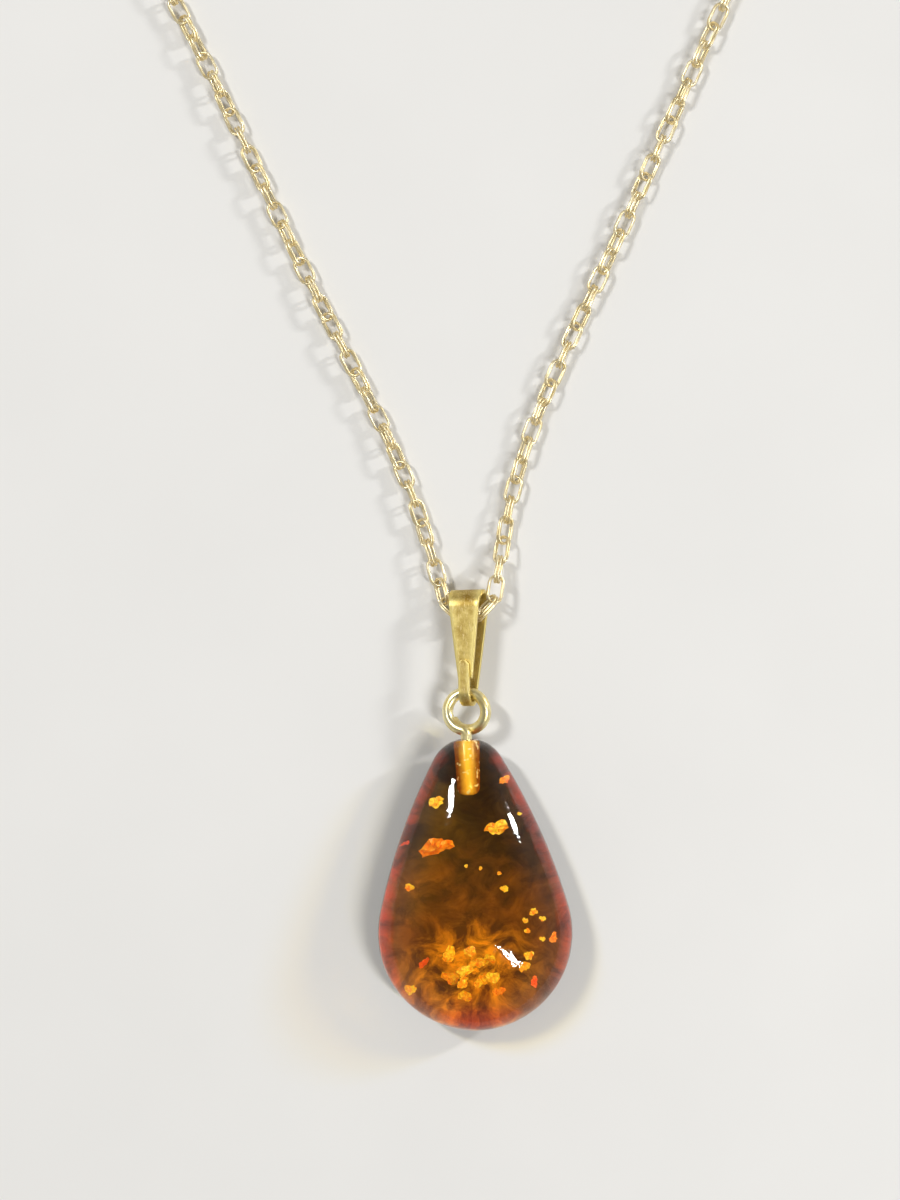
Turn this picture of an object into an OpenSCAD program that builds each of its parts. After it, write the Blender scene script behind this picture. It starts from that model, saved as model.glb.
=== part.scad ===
// Pendant necklace: an amber drop glued to an eye peg, a strap bail, and a chain of doubled oval links.
// It lies open on a table: X to the right, Y from the drop to the chain, Z up, sizes in millimetres.
// The origin is on the flat back of the drop, midway between its tip and its bottom.

/* [Amber drop] */
// Length of the drop from tip to bottom
drop_l = 24; // [20:0.5:30]
// Width of the drop at its widest place
drop_w = 16; // [13:0.5:20]
// Height of the front dome above the girdle
dome_h = 4.6; // [3.6:0.1:6]
// Height of the girdle and of the drilled hole above the flat back
girdle_h = 3; // [2.4:0.1:4]
// Depth that was ground off the bulging back to make it flat
back_cut = 0.6; // [0.2:0.1:1.4]
// Radius of the rounded tip
tip_r = 3.2; // [2.6:0.1:4]
// Radius of the long flank between the round bottom and the tip
flank_r = 50; // [40:1:90]
// How fast the drop thins toward its ends
thinning = 0.65; // [0.5:0.05:0.8]

/* [Sun spangles] */
// Size of the spangles against the half width of the drop, for the largest of them
spangle_size = 0.18; // [0.1:0.01:0.2]
// Thickness of a spangle as a share of its diameter
spangle_t = 0.12; // [0.08:0.01:0.2]

/* [Drilled hole and eye peg] */
// Diameter of the hole drilled into the tip
bore_d = 1.6; // [1.2:0.1:2.2]
// Depth of the drilled hole
bore_depth = 4.9; // [4:0.1:7]
// Diameter of the wire of the peg and its eye
eye_wire = 0.9; // [0.7:0.05:1.1]
// Middle radius of the eye
eye_r = 1.55; // [1.4:0.05:2.2]
// Gap between the tip of the drop and the eye
eye_gap = 0.2; // [0.1:0.05:0.5]
// Angle the cut wire end reaches past one whole turn
tail_a = 50; // [20:5:80]
// Lean of the eye about its peg
eye_lean = -15; // [-25:1:0]

/* [Bail] */
// Thickness of the strap
strap_t = 0.35; // [0.25:0.01:0.45]
// Room around the chain in the fold
fold_room = 0.31; // [0.28:0.01:0.6]
// Room around the eye wire in the wrap
wrap_room = 0.33; // [0.29:0.01:0.5]
// Distance between the middles of the fold and the wrap
bail_l = 7.1; // [6.5:0.1:9]
// Width of the strap at the fold
fold_w = 2.8; // [2.4:0.1:2.8]
// Width of the strap beside the upper end of the tongue
lap_w = 1.7; // [1.2:0.1:2]
// Width of the tongue and of the wrap
tongue_w = 0.95; // [0.6:0.05:1]
// Length of the tongue that is lapped on the front leaf
tongue_l = 2.7; // [2:0.1:3.2]
// Lean of the bail about its length
bail_lean = -19; // [-22:1:-8]
// Turn of the bail seen from above
bail_turn = -3; // [-6:1:3]

/* [Chain] */
// Diameter of the wire of a link
wire = 0.22; // [0.17:0.01:0.25]
// Outer length of a link
link_l = 2.5; // [2.2:0.1:3.2]
// Outer width of a link
link_w = 1.4; // [1.3:0.05:1.7]
// Clear space between the two links of a pair
pair_gap = 0.04; // [0.02:0.01:0.08]
// How far each pair reaches into the next one, in wire diameters
link_reach = 3.6; // [3.4:0.1:4.2]
// Twist from one pair to the next along the strand
twist = 66; // [62:1:74]
// Pairs in the left strand
pairs_left = 131; // [110:1:170]
// Pairs in the right strand
pairs_right = 130; // [110:1:170]

/* [Clasp and end tag] */
// Outer diameter of a jump ring
jump_d = 1.9; // [1.8:0.05:2.4]
// Wire of a jump ring
jump_wire = 0.36; // [0.3:0.02:0.42]
// Middle radius of the clasp ring
clasp_r = 2.3; // [2.1:0.1:3.5]
// Outer diameter of the clasp tube
tube_d = 1.5; // [1.4:0.05:1.9]
// Wall of the clasp tube
tube_wall = 0.2; // [0.15:0.01:0.25]
// Middle radius of the eyelet on the clasp
eyelet_r = 0.8; // [0.75:0.05:1.2]
// Wire of the eyelet
eyelet_wire = 0.4; // [0.3:0.02:0.46]
// Wire of the coil spring in the clasp
spring_wire = 0.12; // [0.09:0.01:0.14]
// Turns of the coil spring
spring_turns = 12; // [8:1:13]
// Distance between the two holes of the end tag
tag_l = 5; // [4.5:0.1:7]
// Width of the end tag at the clasp hole
tag_w = 3.2; // [2.8:0.1:4.4]
// Thickness of the end tag
tag_t = 0.4; // [0.3:0.02:0.5]
// Hole in the end tag that the clasp hooks into
tag_hole = 2; // [1.6:0.1:2.4]

/* [Hidden] */
$fn = 48;

// Height at which loose pieces clear the table
lift = 0.03;
// Small step by which a joined piece is narrower than its neighbour, so that both melt together
ease = 0.01;
// Clearance of pieces that are glued or soldered in place
fit = 0.02;
// Length that a cutting shape stands out of the face it cuts
through = 1;
// Step from one link of a pair to the other, and the largest reach of a pair from its middle line
pair = wire + pair_gap;
chain_half = norm([link_w / 2, pair / 2 + wire / 2]);

gold = [0.83, 0.62, 0.27];
amber = [0.66, 0.25, 0.04];
glue = [0.9, 0.5, 0.15];
steel = [0.7, 0.7, 0.7];

// Skin over a row of rings of points, closed at both ends
module skin(rings) {
    n = len(rings[0]);
    last = len(rings) - 1;
    sides = [for (i = [0 : last - 1], j = [0 : n - 1])
        each [[i * n + j, i * n + (j + 1) % n, (i + 1) * n + j],
            [i * n + (j + 1) % n, (i + 1) * n + (j + 1) % n, (i + 1) * n + j]]];
    caps = [[for (j = [n - 1 : -1 : 0]) j], [for (j = [0 : n - 1]) last * n + j]];
    polyhedron([for (r = rings) each r], concat(sides, caps));
}

function unit(v) = v / norm(v);

// Ring of points around point i of a path, square to the path
function path_ring(path, i, d, sides) =
    let (along = unit(path[min(i + 1, len(path) - 1)] - path[max(i - 1, 0)]),
        across = unit(cross([0, 0, 1], along)),
        rise = cross(along, across))
    [for (j = [0 : sides - 1])
        let (a = 360 * j / sides)
        path[i] + d / 2 * (cos(a) * across + sin(a) * rise)];

// Round wire along a path
module wire_along(path, d, sides) {
    skin([for (i = [0 : len(path) - 1]) path_ring(path, i, d, sides)]);
}

// Part of a ring of round wire, from angle a0 to angle a1
module arc(r, d, a0, a1) {
    rotate_extrude(angle = a1 - a0, start = a0) translate([r, 0]) circle(d = d);
}

// Amber drop: bottom circle, long flank arcs and a rounded tip seen from above, a dome seen from the side
bottom_r = drop_w / 2;
back_bulge = girdle_h + back_cut;
bottom_y = bottom_r - drop_l / 2;
tip_y = drop_l / 2 - tip_r;
flank_to_bottom = flank_r - bottom_r;
flank_to_tip = flank_r - tip_r;
flank_y = (tip_y ^ 2 - bottom_y ^ 2 - flank_to_tip ^ 2 + flank_to_bottom ^ 2)
    / (2 * (tip_y - bottom_y));
flank_x = sqrt(flank_to_bottom ^ 2 - (bottom_y - flank_y) ^ 2);
flank_start = bottom_y + bottom_r * (bottom_y - flank_y) / flank_to_bottom;
flank_end = tip_y + tip_r * (tip_y - flank_y) / flank_to_tip;

function half_width(y) =
    y > flank_end ? sqrt(tip_r ^ 2 - (y - tip_y) ^ 2)
    : y > flank_start ? sqrt(flank_r ^ 2 - (y - flank_y) ^ 2) - flank_x
    : sqrt(bottom_r ^ 2 - (y - bottom_y) ^ 2);

drop_rings = 32;
drop_sides = 44;

function drop_ring(y) =
    let (w = half_width(y), thin = (w / bottom_r) ^ thinning)
    [for (j = [0 : drop_sides - 1])
        let (a = 360 * j / drop_sides, h = (a < 180 ? dome_h : back_bulge) * thin)
        [w * cos(a), y, max(0, girdle_h + h * sin(a))]];

module amber_drop() {
    color(amber) difference() {
        skin([for (i = [1 : drop_rings - 1]) drop_ring(-drop_l / 2 * cos(180 * i / drop_rings))]);
        in_hole(0) cylinder(d = bore_d, h = bore_depth + through);
        for (s = spangles) spangle(s, fit);
    }
}

// Sun spangles: round cracks in the amber, flat discs that thin out to a sharp rim.
// Each has its middle as shares of the half width, the half length and the dome, its radius as a share
// of the largest one, its lean from level and its turn seen from above.
upper_spangles = [
    [-0.32, 0.57, 0.3, 0.5, 20, 20], [-0.33, 0.26, 0.25, 1, 50, 16], [-0.6, 0.28, 0, 0.42, 60, 15],
    [0.25, 0.38, 0.41, 0.72, 40, 10], [0.33, 0.69, 0.1, 0.4, 50, 40],
    [0.47, 0.46, 0.22, 0.16, 30, 30], [-0.59, -0.01, 0.13, 0.31, 30, -20],
    [0.3, -0.03, 0.52, 0.26, 20, 10], [-0.06, 0.14, 0.65, 0.13, 20, 0],
    [0.08, 0.12, 0.65, 0.13, 20, 40], [0.26, 0.08, 0.61, 0.15, 20, -30]];
lower_cluster = [
    [-0.26, -0.45, 0.43, 0.55, 40, 75], [-0.06, -0.43, 0.66, 0.42, 30, -25],
    [0.01, -0.51, 0.42, 0.46, 45, 15], [0.12, -0.49, 0.3, 0.42, 40, -20],
    [-0.12, -0.56, 0.59, 0.52, 35, 35], [-0.25, -0.6, 0.33, 0.55, 45, -20],
    [-0.14, -0.64, 0.41, 0.42, 40, 50], [0.03, -0.63, 0.26, 0.46, 40, 45],
    [0.15, -0.61, 0.46, 0.46, 30, -45], [0.19, -0.7, 0.17, 0.4, 50, 20],
    [-0.12, -0.72, 0.14, 0.42, 45, -10]];
side_spangles = [
    [0.45, -0.55, 0.3, 0.4, 45, 60], [0.51, -0.48, 0.48, 0.34, 25, 0],
    [0.49, -0.25, 0.52, 0.2, 20, 0], [0.57, -0.2, 0.41, 0.3, 35, 10],
    [0.65, -0.25, 0.33, 0.22, 25, 0], [0.5, -0.32, 0.43, 0.2, 30, 40],
    [0.73, -0.38, 0.15, 0.34, 50, 70], [0.64, -0.38, 0.33, 0.2, 30, 20],
    [-0.49, -0.5, 0.22, 0.4, 55, 35], [-0.61, -0.66, 0.02, 0.36, 35, -35],
    [0.52, -0.65, 0.11, 0.34, 60, 80]];
spangles = concat(upper_spangles, lower_cluster, side_spangles);

module spangle(s, grow) {
    size = s[3] * spangle_size * drop_w / 2;
    r = size + grow;
    half = size * spangle_t + grow;
    translate([s.x * drop_w / 2, s.y * drop_l / 2, girdle_h + s.z * dome_h])
        rotate([s[4], 0, s[5]]) for (face = [0, 180])
            rotate([face, 0, 0]) cylinder(r1 = r, r2 = r / 2, h = half);
}

module sun_spangles() {
    color(gold) for (s = spangles) spangle(s, 0);
}

// Places a piece in the drilled hole, standing up from a height above the bottom of the hole
module in_hole(height) {
    translate([0, drop_l / 2 - bore_depth + height, girdle_h]) rotate([-90, 0, 0]) children();
}

// Glue: a sleeve between the wall of the hole and the peg, a little below the mouth
glue_top = 0.3;

module glue_plug() {
    color(glue) in_hole(fit) difference() {
        cylinder(d = bore_d - 2 * fit, h = bore_depth - glue_top);
        translate([0, 0, peg_foot - fit]) cylinder(d = eye_wire + 2 * fit, h = bore_depth);
    }
}

// Eye peg: a straight peg, a kink to the left and a little more than one turn of wire that sinks as it goes
peg_foot = 0.25;
kink_play = 0.05;
coil_gap = 0.1;
kink_r = eye_wire / 2 + kink_play;
eye_sink = eye_wire + coil_gap;
eye_y = drop_l / 2 + eye_gap + eye_r + eye_wire / 2;
kink_y = -sqrt(eye_r ^ 2 + 2 * eye_r * kink_r);
loop_start = 270 - asin(kink_r / (eye_r + kink_r));
kink_turn = loop_start - 180;
wire_sides = 14;
kink_steps = 6;
loop_steps = 54;

// Point of the eye loop after turning by angle a from the kink, in the frame of the eye
function loop_point(a) =
    [eye_r * cos(loop_start - a), eye_r * sin(loop_start - a), -eye_sink * a / 360];

function lean_eye(p) =
    [p.x * cos(eye_lean) + p.z * sin(eye_lean),
        p.y + eye_y,
        p.z * cos(eye_lean) - p.x * sin(eye_lean) + girdle_h];

peg_path = concat(
    [[0, drop_l / 2 - bore_depth + peg_foot + fit - eye_y, 0]],
    [for (i = [0 : kink_steps - 1])
        let (a = kink_turn * i / kink_steps)
        [kink_r * (cos(a) - 1), kink_y + kink_r * sin(a), 0]],
    [for (i = [0 : loop_steps]) loop_point((360 + tail_a) * i / loop_steps)]);

module eye_peg() {
    color(gold) wire_along([for (p = peg_path) lean_eye(p)], eye_wire, wire_sides);
}

// Bail: fold, back leaf, wrap around the eye and tongue are one strap, drawn flat in Y and Z about its wrap
bail_spot = 83;
hinge = lean_eye(loop_point(loop_start - bail_spot));
lap_gap = 0.02;
lap_rise = 0.5;
leaf_gap = 0.3;
fold_r = chain_half + fold_room;
wrap_r = eye_wire / 2 + wrap_room;
fold_mid = fold_r + strap_t / 2;
wrap_mid = wrap_r + strap_t / 2;
lap_a = asin((strap_t + lap_gap + fold_r - wrap_r) / bail_l);
back_a = asin((fold_r - wrap_r) / bail_l);
lap_y = tongue_l + lap_rise;
front_end = wrap_r + leaf_gap;
strap_overlap = 0.05;
fold_z = lift + (fold_r + strap_t) * cos(bail_lean) + fold_w / 2 * sin(abs(bail_lean));
bail_pitch = -asin((hinge.z - fold_z) / bail_l);

module strap_bend(r, a0, a1) {
    rotate([90, 0, 90]) rotate_extrude(angle = a1 - a0, start = a0)
        translate([r, -fold_w / 2]) square([strap_t, fold_w]);
}

// Straight piece of strap that starts on the middle line at y, z and climbs by an angle
module strap_leaf(y, z, climb, l, w) {
    translate([0, y, z]) rotate([climb, 0, 0])
        translate([-w / 2, -strap_overlap, ease - strap_t / 2])
            cube([w, l + 2 * strap_overlap, strap_t - 2 * ease]);
}

module strap_outline() {
    top = bail_l + fold_r + strap_t + through;
    foot = -2 * wrap_mid;
    half_top = fold_w / 2 + (fold_w - lap_w) / 2 / (bail_l - lap_y) * through;
    half_line = [[half_top, top], [lap_w / 2, lap_y], [tongue_w / 2, 0], [tongue_w / 2, foot]];
    linear_extrude(height = 4 * (fold_r + strap_t), center = true)
        polygon(concat(half_line, [for (i = [3 : -1 : 0]) [-half_line[i].x, half_line[i].y]]));
}

module strap() {
    back_l = bail_l * cos(back_a);
    front_y = bail_l - fold_mid * sin(lap_a);
    front_l = (front_y - front_end) / cos(lap_a);
    intersection() {
        union() {
            translate([0, bail_l, 0]) strap_bend(fold_r, -90 - back_a, 90 + lap_a);
            strap_leaf(-wrap_mid * sin(back_a), -wrap_mid * cos(back_a), -back_a, back_l, fold_w);
            strap_bend(wrap_r, 90 + lap_a, 270 - back_a);
            strap_leaf(front_end, fold_mid * cos(lap_a) - front_l * sin(lap_a), lap_a, front_l, fold_w);
        }
        strap_outline();
    }
    tongue_y = -wrap_mid * sin(lap_a);
    tongue_z = wrap_mid * cos(lap_a);
    tongue_side = tongue_l - tongue_w / 2;
    strap_leaf(tongue_y, tongue_z, lap_a, tongue_side, tongue_w - 2 * ease);
    translate([0, tongue_y, tongue_z]) rotate([lap_a, 0, 0])
        translate([0, tongue_side, ease - strap_t / 2]) cylinder(d = tongue_w, h = strap_t - 2 * ease);
}

module bail() {
    color(gold) translate(hinge) rotate([bail_pitch, 0, bail_turn]) rotate([0, bail_lean, 0]) strap();
}

// A point given in the frame of the bail, after its lean, pitch and turn
function turn_x(p, a) = [p.x, p.y * cos(a) - p.z * sin(a), p.y * sin(a) + p.z * cos(a)];
function turn_y(p, a) = [p.x * cos(a) + p.z * sin(a), p.y, p.z * cos(a) - p.x * sin(a)];
function turn_z(p, a) = [p.x * cos(a) - p.y * sin(a), p.x * sin(a) + p.y * cos(a), p.z];
function in_bail(p) = hinge + turn_z(turn_x(turn_y(p, bail_lean), bail_pitch), bail_turn);

// Chain link: two half rings of wire joined by two straight sides
end_r = (link_w - wire) / 2;
end_off = (link_l - link_w) / 2;

module link() {
    translate([end_off, 0, 0]) arc(end_r, wire, -90, 90);
    translate([-end_off, 0, 0]) arc(end_r, wire, 90, 270);
    for (s = [-1, 1])
        translate([-end_off, s * end_r, 0]) rotate([0, 90, 0]) cylinder(d = wire, h = 2 * end_off);
}

// Chain route: pair 0 lies across the fold of the bail, the others count outward to the left and the right.
// Each table gives the direction of a strand by pair number, as the angle it climbs from the X axis.
// The front pairs keep their numbers, and the rest of a table is spread over the other pairs of the strand.
lay_left = [[1, 45], [2, 77], [5, 76], [8, 70], [10.5, 67], [13, 65.5], [18, 66], [24, 68], [30, 66.5],
    [33, 64.5], [50, 57], [70, 69], [90, 94], [110, 124], [131, 152]];
lay_right = [[1, 45], [2, 78], [5, 78], [8, 71], [10.5, 66], [13, 63.5], [18, 62], [24, 63.5], [30, 63],
    [33, 61.5], [50, 56], [70, 70], [90, 97], [110, 128], [131, 156]];
front_pairs = 33;
table_pairs = 131;
// Share of the way down to the table that each of the first pairs takes
fall_left = [0.35, 0.3, 0.2, 0.1, 0.05];
fall_right = [-0.05, 0.2, 0.4, 0.33, 0.12];
// Place of pair 0 in the bail, its climb to the right and its roll
seat_x = 0.1;
seat_drop = 0.7;
seat = in_bail([seat_x, bail_l - seat_drop, 0]);
seat_climb = 13;
seat_roll = 35;
// Twist over the two tight steps beside the bail, where the chain bends most
seat_twist = 80;
seat_pairs = 2;
pitch = link_l - link_reach * wire;
chain_z = chain_half + lift / 3;

function strand_pairs(side) = side > 0 ? pairs_right : pairs_left;
function spread(side) = (strand_pairs(side) - front_pairs) / (table_pairs - front_pairs);
function lay(side, k) =
    let (place = k > front_pairs ? front_pairs + (k - front_pairs) / spread(side) : k)
    lookup(place, side > 0 ? lay_right : lay_left);
function fall(side, k) =
    let (share = side > 0 ? fall_right : fall_left,
        down = seat.z + side * pitch / 2 * sin(seat_climb) - chain_z)
    k > len(share) ? 0 : asin(down * share[k - 1] / pitch);
function pair_step(side, k) =
    let (a = lay(side, k), f = fall(side, k))
    pitch * [side * cos(a) * cos(f), sin(a) * cos(f), -sin(f)];
function route(side, n) =
    [for (k = 0, p = seat + side * pitch / 2 * [cos(seat_climb), 0, sin(seat_climb)];
        k <= n;
        p = p + pair_step(side, k + 1), k = k + 1) p];
// Twist of a strand, drawn to the nearest value that lays its last pair flat
function even_twist(side) =
    let (free = strand_pairs(side) - seat_pairs, start = side * seat_roll + seat_twist * seat_pairs)
    (180 * round((start + twist * free) / 180) - start) / free;
function roll(k) =
    let (side = sign(k), n = abs(k))
    seat_roll + side * (seat_twist * min(n, seat_pairs) + even_twist(side) * max(n - seat_pairs, 0));

route_left = route(-1, pairs_left);
route_right = route(1, pairs_right);

// Where the strands may turn: the first pair of each stretch
function far_pair(side, k) = round(front_pairs + (k - front_pairs) * spread(side));
stretch_left = [6, 32, far_pair(-1, 62), far_pair(-1, 96), pairs_left + 1];
stretch_right = [4, 35, far_pair(1, 65), far_pair(1, 100), pairs_right + 1];

module place_pair(k) {
    side = sign(k);
    i = abs(k);
    way = side > 0 ? route_right : route_left;
    if (k == 0) translate(seat) rotate([roll(0), -seat_climb, 0]) children();
    else translate((way[i - 1] + way[i]) / 2)
        rotate([roll(k), side * fall(side, i), side * lay(side, i)]) children();
}

module pairs(first, last) {
    color(gold) for (k = [first : last], s = [-1, 1]) place_pair(k) translate([0, 0, s * pair / 2]) link();
}

module left_stretch(i) {
    pairs(1 - stretch_left[i + 1], -stretch_left[i]);
}

module right_stretch(i) {
    pairs(stretch_right[i], stretch_right[i + 1] - 1);
}

// Frame at the open end of a strand: X goes on along the chain
module at_end(side) {
    last = strand_pairs(side);
    way = side > 0 ? route_right : route_left;
    a = lay(side, last);
    translate([way[last].x, way[last].y, 0]) rotate([0, 0, side > 0 ? a : 180 - a]) children();
}

// Jump ring: stands upright through the last pair, cut open at its top
jump_r = (jump_d - jump_wire) / 2;
jump_z = jump_d / 2 + lift;
ring_gap = 0.26;
jump_x = (link_l - pitch) / 2 - wire - ring_gap - jump_wire / 2 + jump_r;
jump_cut = 4;

module jump_ring(side) {
    color(gold) at_end(side) translate([jump_x, 0, jump_z]) rotate([90, 0, 0])
        arc(jump_r, jump_wire, 90 + jump_cut / 2, 450 - jump_cut / 2);
}

// Spring ring clasp: angles count from the side away from the chain, the eyelet is at 180
tube_bore = tube_d - 2 * tube_wall;
bolt_play = 0.1;
bolt_d = tube_bore - bolt_play;
clasp_z = tube_d / 2 + lift;
hang_gap = 0.14;
eyelet_x = jump_x + jump_r - jump_wire / 2 - hang_gap - eyelet_wire / 2 + eyelet_r;
clasp_x = eyelet_x + eyelet_r + eyelet_wire / 2 + fit / 2 + tube_d / 2 + clasp_r;
mouth_a0 = 20;
mouth_a1 = 70;
bolt_a0 = 12;
bolt_a1 = 117;
bolt_travel = 58;
knob_a = 97;
knob_post = 0.4;
knob_ball = 0.75;
knob_seat = 0.1;
knob_stand = 0.5;
knob_reach = tube_d / 2 + knob_stand;
slot_room = 6;
stop_a0 = 322;
stop_a1 = 332;
spring_rest = 2;

module in_clasp() {
    at_end(-1) translate([clasp_x, 0, clasp_z]) children();
}

module clasp_eyelet() {
    color(gold) at_end(-1) translate([eyelet_x, 0, clasp_z]) arc(eyelet_r, eyelet_wire, 0, 360);
}

module clasp_tube() {
    color(gold) in_clasp() {
        difference() {
            rotate_extrude(angle = 360 + mouth_a0 - mouth_a1, start = mouth_a1) translate([clasp_r, 0])
                difference() {
                    circle(d = tube_d);
                    circle(d = tube_bore);
                }
            rotate_extrude(angle = bolt_travel + 2 * slot_room, start = knob_a - slot_room)
                translate([clasp_r, -knob_post / 2 - fit]) square([tube_d, knob_post + 2 * fit]);
        }
        arc(clasp_r, tube_bore + tube_wall, stop_a0, stop_a1);
    }
}

module clasp_bolt() {
    color(gold) in_clasp() difference() {
        arc(clasp_r, bolt_d, bolt_a0, bolt_a1);
        rotate([0, 0, knob_a]) translate([clasp_r + knob_seat, 0, 0]) rotate([0, 90, 0])
            cylinder(d = knob_post + fit, h = tube_d);
    }
}

module bolt_knob() {
    color(gold) in_clasp() rotate([0, 0, knob_a]) translate([clasp_r, 0, 0]) {
        translate([knob_seat + fit, 0, 0]) rotate([0, 90, 0])
            cylinder(d = knob_post, h = knob_reach - knob_seat - fit);
        translate([knob_reach, 0, 0]) sphere(d = knob_ball);
    }
}

// Coil spring: one wound wire bent to the ring, from the tail of the bolt to the stop
spring_play = 0.08;
spring_r = tube_bore / 2 - spring_wire / 2 - spring_play;
spring_a0 = bolt_a1 + spring_rest;
spring_a1 = stop_a0 - spring_rest;
turn_steps = 12;
spring_steps = spring_turns * turn_steps;
spring_sides = 5;

function spring_angle(i) = spring_a0 + (spring_a1 - spring_a0) * i / spring_steps;
function spring_point(i) =
    let (a = spring_angle(i), b = 360 * i / turn_steps, r = clasp_r + spring_r * cos(b))
    [r * cos(a), r * sin(a), spring_r * sin(b)];

module clasp_spring() {
    color(steel) in_clasp() skin([for (i = [0 : spring_steps]) spring_ring(i)]);
}

function spring_ring(i) =
    let (along = unit(spring_point(i + 1) - spring_point(i - 1)),
        mid = clasp_r * [cos(spring_angle(i)), sin(spring_angle(i)), 0],
        out = unit(cross(along, cross(spring_point(i) - mid, along))),
        side = cross(along, out))
    [for (j = [0 : spring_sides - 1])
        let (a = 360 * j / spring_sides)
        spring_point(i) + spring_wire / 2 * (cos(a) * out + sin(a) * side)];

// End tag: a flat plate that hangs on its jump ring and rests its far end on the table
tag_ring_hole = 1.2;
tag_neck_w = 1.9;
tag_slack = 0.25;
tag_sag = 0.17;
tag_z = jump_z - tag_sag;
tag_tilt = asin((tag_z - tag_t / 2 - lift) / (tag_l + tag_w / 2));

module in_tag() {
    at_end(1) translate([jump_x + jump_r + tag_slack, 0, tag_z]) rotate([0, tag_tilt, 0]) children();
}

module end_tag() {
    color(gold) in_tag() translate([0, 0, -tag_t / 2]) difference() {
        union() {
            cylinder(d = tag_neck_w, h = tag_t);
            translate([tag_l, 0, 0]) cylinder(d = tag_w, h = tag_t);
            linear_extrude(height = tag_t) polygon([[0, ease - tag_neck_w / 2], [tag_l, ease - tag_w / 2],
                [tag_l, tag_w / 2 - ease], [0, tag_neck_w / 2 - ease]]);
        }
        translate([0, 0, -through]) cylinder(d = tag_ring_hole, h = tag_t + 2 * through);
        translate([tag_l, 0, -through]) cylinder(d = tag_hole, h = tag_t + 2 * through);
    }
}

amber_drop();
sun_spangles();
glue_plug();
eye_peg();
bail();
pairs(1 - stretch_left[0], stretch_right[0] - 1);  // chain_middle
left_stretch(0);  // chain_left_1
left_stretch(1);  // chain_left_2
left_stretch(2);  // chain_left_3
left_stretch(3);  // chain_left_4
right_stretch(0);  // chain_right_1
right_stretch(1);  // chain_right_2
right_stretch(2);  // chain_right_3
right_stretch(3);  // chain_right_4
jump_ring(-1);  // clasp_jump_ring
clasp_eyelet();
clasp_tube();
clasp_bolt();
bolt_knob();
clasp_spring();
jump_ring(1);  // tag_jump_ring
end_tag();
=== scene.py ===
import math
import random

import bmesh
import bpy
import numpy as np
from mathutils import Matrix, Vector


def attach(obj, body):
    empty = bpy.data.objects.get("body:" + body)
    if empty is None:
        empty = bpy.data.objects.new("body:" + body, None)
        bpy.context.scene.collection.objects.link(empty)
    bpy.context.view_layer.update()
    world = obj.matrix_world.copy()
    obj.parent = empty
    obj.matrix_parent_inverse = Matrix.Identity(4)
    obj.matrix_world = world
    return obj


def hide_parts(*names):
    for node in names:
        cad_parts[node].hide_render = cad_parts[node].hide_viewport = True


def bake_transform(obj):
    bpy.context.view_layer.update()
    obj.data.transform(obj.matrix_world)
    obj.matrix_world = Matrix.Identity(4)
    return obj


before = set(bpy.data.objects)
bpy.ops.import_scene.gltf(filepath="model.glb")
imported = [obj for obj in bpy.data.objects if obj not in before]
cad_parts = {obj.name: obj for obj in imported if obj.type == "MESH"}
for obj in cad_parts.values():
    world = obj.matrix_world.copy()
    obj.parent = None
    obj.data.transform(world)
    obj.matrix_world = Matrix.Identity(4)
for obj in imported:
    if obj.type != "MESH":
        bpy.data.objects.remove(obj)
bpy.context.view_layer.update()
scene = bpy.context.scene

# Camera: it looks straight down on the necklace laid out on a table, turned a little so that the drop
# points to the lower right. The frame is 900 by 1200 pixels and 98.6 mm high at the girdle of the drop.
mm = 0.001
view_height = 98.64 * mm
view_distance = 320 * mm
view_middle = (-0.83 * mm, 23.40 * mm)
view_turn = math.radians(-2.6)
nearest_view = 10 * mm
girdle_height = 3.0


def put(name, data):
    """Object with the given data, in the scene."""
    thing = bpy.data.objects.new(name, data)
    scene.collection.objects.link(thing)
    return thing


lens = bpy.data.cameras.new("top_camera")
lens.sensor_fit = "VERTICAL"
lens.lens = lens.sensor_height * view_distance / view_height
lens.clip_start = nearest_view
camera = put("top_camera", lens)
camera.location = (*view_middle, view_distance + girdle_height * mm)
camera.rotation_euler = (0, 0, view_turn)
scene.camera = camera

# Table and light: a smooth pale table top in a room with bright walls and a dim ceiling.
# Three narrow soft boxes stand around the table, and leave long highlights on polished faces.


def linear(code):
    """Linear colour of an sRGB hex code."""
    parts = [int(code[i:i + 2], 16) / 255 for i in (0, 2, 4)]
    return (*(p / 12.92 if p <= 0.04045 else ((p + 0.055) / 1.055) ** 2.4 for p in parts), 1)


def connect(node, links):
    """Links outputs of other nodes to inputs of a node."""
    for name, source in links.items():
        node.id_data.links.new(source, node.inputs[name])


def add(tree, kind, settings=None, links=None, output=None):
    """Node of a kind with its settings and links. Gives its output of that name, or else the first in use.

    A Mix node takes its share at input 0, and the two colours that it mixes at inputs 6 and 7.
    """
    node = tree.nodes.new(kind)
    for name, value in (settings or {}).items():
        if isinstance(name, int) or name in node.inputs:
            node.inputs[name].default_value = value
        else:
            setattr(node, name, value)
    connect(node, links or {})
    if output:
        return node.outputs[output]
    return next((socket for socket in node.outputs if socket.enabled), None)


def new_material(name, constants):
    """Material with constants on its shader. Gives it, its node tree, its shader and Object coordinates."""
    material = bpy.data.materials.new(name)
    material.use_nodes = True
    tree = material.node_tree
    shader = tree.nodes["Principled BSDF"]
    for socket, value in constants.items():
        shader.inputs[socket].default_value = value
    return material, tree, shader, add(tree, "ShaderNodeTexCoord", output="Object")


table_half = 700 * mm
table_drop = 0.02 * mm
table_corners = ((-1, -1), (1, -1), (1, 1), (-1, 1))
table_mesh = bpy.data.meshes.new("table_top")
table_mesh.from_pydata([(x * table_half, y * table_half, -table_drop) for x, y in table_corners],
                       [], [(0, 1, 2, 3)])
table = put("table_top", table_mesh)

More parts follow.
